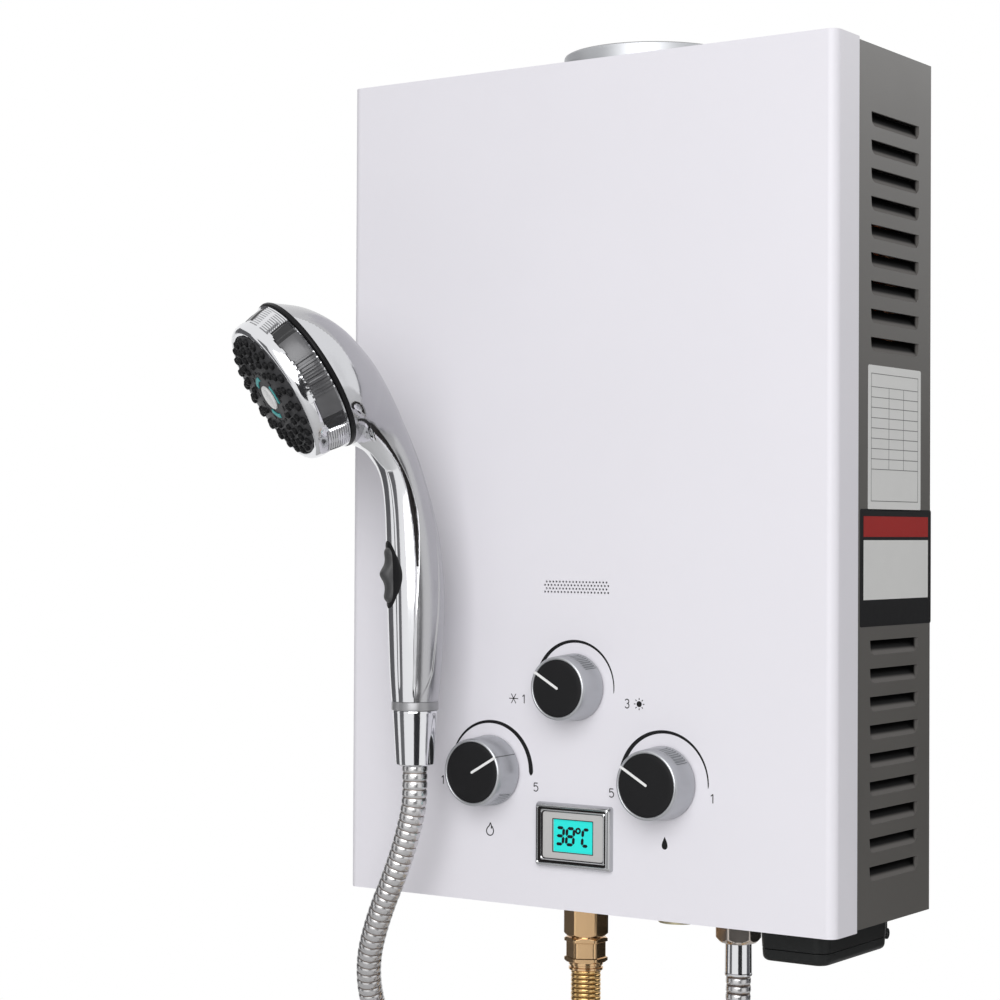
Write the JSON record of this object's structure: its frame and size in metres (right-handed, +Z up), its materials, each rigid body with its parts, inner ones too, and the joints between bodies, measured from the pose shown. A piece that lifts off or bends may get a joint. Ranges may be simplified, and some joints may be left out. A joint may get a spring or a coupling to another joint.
{
  "type": "portable gas water heater",
  "caption": "Wall-hung tankless propane water heater with control knobs, a lit temperature display, a battery box, a ribbed gas hose and a hand shower on a metal hose",
  "frame": {"origin": "centre of the wall hanger's hole, on the wall plane", "axes": "X to the right as seen from the front, Y back into the wall, Z up; the front faces -Y"},
  "size_m": [0.3087, 0.2366, 0.73],
  "materials": {
    "white_coat": "satin white powder coat",
    "grey_coat": "satin warm grey powder coat",
    "zinc_steel": "zinc-plated steel",
    "flue_metal": "polished aluminium",
    "hood_sheet": "mill-finish sheet",
    "copper": null,
    "valve_brass": "cast and turned brass",
    "gas_brass": "turned brass",
    "valve_alloy": "die-cast alloy",
    "inlet_metal": "dark plated fitting",
    "electrode_ceramic": "white glazed insulator with a steel rod",
    "black_plastic": "black moulded plastic",
    "wire_jacket": "dark wire insulation",
    "cell_jacket": "plain printed steel jacket",
    "knob_silver": "satin silver plated plastic",
    "bezel_chrome": "bright chrome",
    "window_grey": "grey printed mask",
    "screen_lit": "cyan lit segment display",
    "ferrule_metal": "crimped ferrules",
    "gas_braid": "ribbed gold-coloured hose",
    "shower_metal": "wound chrome hose",
    "collar_grey": "grey plated ring",
    "seal_rubber": "black rubber",
    "selector_chrome": "chrome with dark windows",
    "spray_plastic": "dark charcoal plate with rubber nozzles"
  },
  "bodies": {
    "heater": {"front_cover": "white_coat", "rear_case": "grey_coat", "top_panel": "grey_coat", "bottom_panel": "grey_coat", "hanger_bracket": "zinc_steel", "wall_rail": "zinc_steel", "case_screws": "zinc_steel", "flue_collar": "flue_metal", "draft_hood": "hood_sheet", "heat_exchanger": "copper", "combustion_chamber": "copper", "burner": "zinc_steel", "gas_manifold": "valve_brass", "ignition_electrodes": "electrode_ceramic", "gas_valve": "valve_alloy", "season_valve": "valve_brass", "water_valve": "valve_brass", "water_pipes": "copper", "microswitch": "black_plastic", "ignition_controller": "black_plastic", "wiring_harness": "wire_jacket", "battery_box": "black_plastic", "batteries": "cell_jacket", "battery_contacts": "zinc_steel", "battery_door_pin": "zinc_steel", "display_bezel": "bezel_chrome", "display_window": "window_grey", "display_screen": "screen_lit", "gas_inlet_fitting": "gas_brass", "water_inlet_fitting": "inlet_metal", "water_outlet_fitting": "valve_brass", "gas_hose_nut": "gas_brass", "outlet_hose_nut": "bezel_chrome", "hose_ferrules": "ferrule_metal", "gas_hose": "gas_braid", "gas_hose_coil": "gas_braid", "gas_supply_nut": "gas_brass", "shower_hose_lower": "shower_metal", "shower_hose_coil": "shower_metal", "shower_hose_upper": "shower_metal", "shower_hose_nut": "bezel_chrome", "hose_ties": "black_plastic", "handset_shell": "bezel_chrome", "handset_collar": "collar_grey", "handset_seal": "seal_rubber", "shower_holder": "bezel_chrome"},
    "season": {"season_knob": "knob_silver", "season_knob_cap": "black_plastic", "season_spindle": "valve_brass"},
    "gas": {"gas_knob": "knob_silver", "gas_knob_cap": "black_plastic", "gas_spindle": "valve_brass"},
    "water": {"water_knob": "knob_silver", "water_knob_cap": "black_plastic", "water_spindle": "valve_brass"},
    "push_rod": {"valve_push_rod": "valve_brass"},
    "battery_cap": {"battery_door": "black_plastic"},
    "selector": {"spray_selector": "selector_chrome", "spray_face": "spray_plastic"},
    "thumb": {"thumb_switch": "black_plastic"}
  },
  "joints": [
    {"name": "season_turn", "type": "hinge", "parent": "heater", "child": "season", "pos_m": [0, -0.112, -0.297], "axis": [0, 1, 0], "range_deg": [-30, 150]},
    {"name": "gas_turn", "type": "hinge", "parent": "heater", "child": "gas", "pos_m": [-0.052, -0.112, -0.342], "axis": [0, 1, 0], "range_deg": [-150, 30]},
    {"name": "water_turn", "type": "hinge", "parent": "heater", "child": "water", "pos_m": [0.052, -0.112, -0.342], "axis": [0, 1, 0], "range_deg": [-30, 150]},
    {"name": "rod_slide", "type": "slide", "parent": "heater", "child": "push_rod", "axis": [-1, 0, 0], "range_m": [0, 0.004], "stiffness_N_per_m": 200},
    {"name": "battery_cap_hinge", "type": "hinge", "parent": "heater", "child": "battery_cap", "pos_m": [0.1085, -0.0098, -0.42265], "axis": [1, 0, 0], "range_deg": [0, 90]},
    {"name": "selector_turn", "type": "hinge", "parent": "heater", "child": "selector", "pos_m": [-0.10701, -0.19537, -0.14], "axis": [-0.4681, -0.7072, -0.5299], "range_deg": [-60, 60]},
    {"name": "thumb_slide", "type": "slide", "parent": "heater", "child": "thumb", "axis": [0, 0, 1], "range_m": [-0.003, 0.003]}
  ]
}
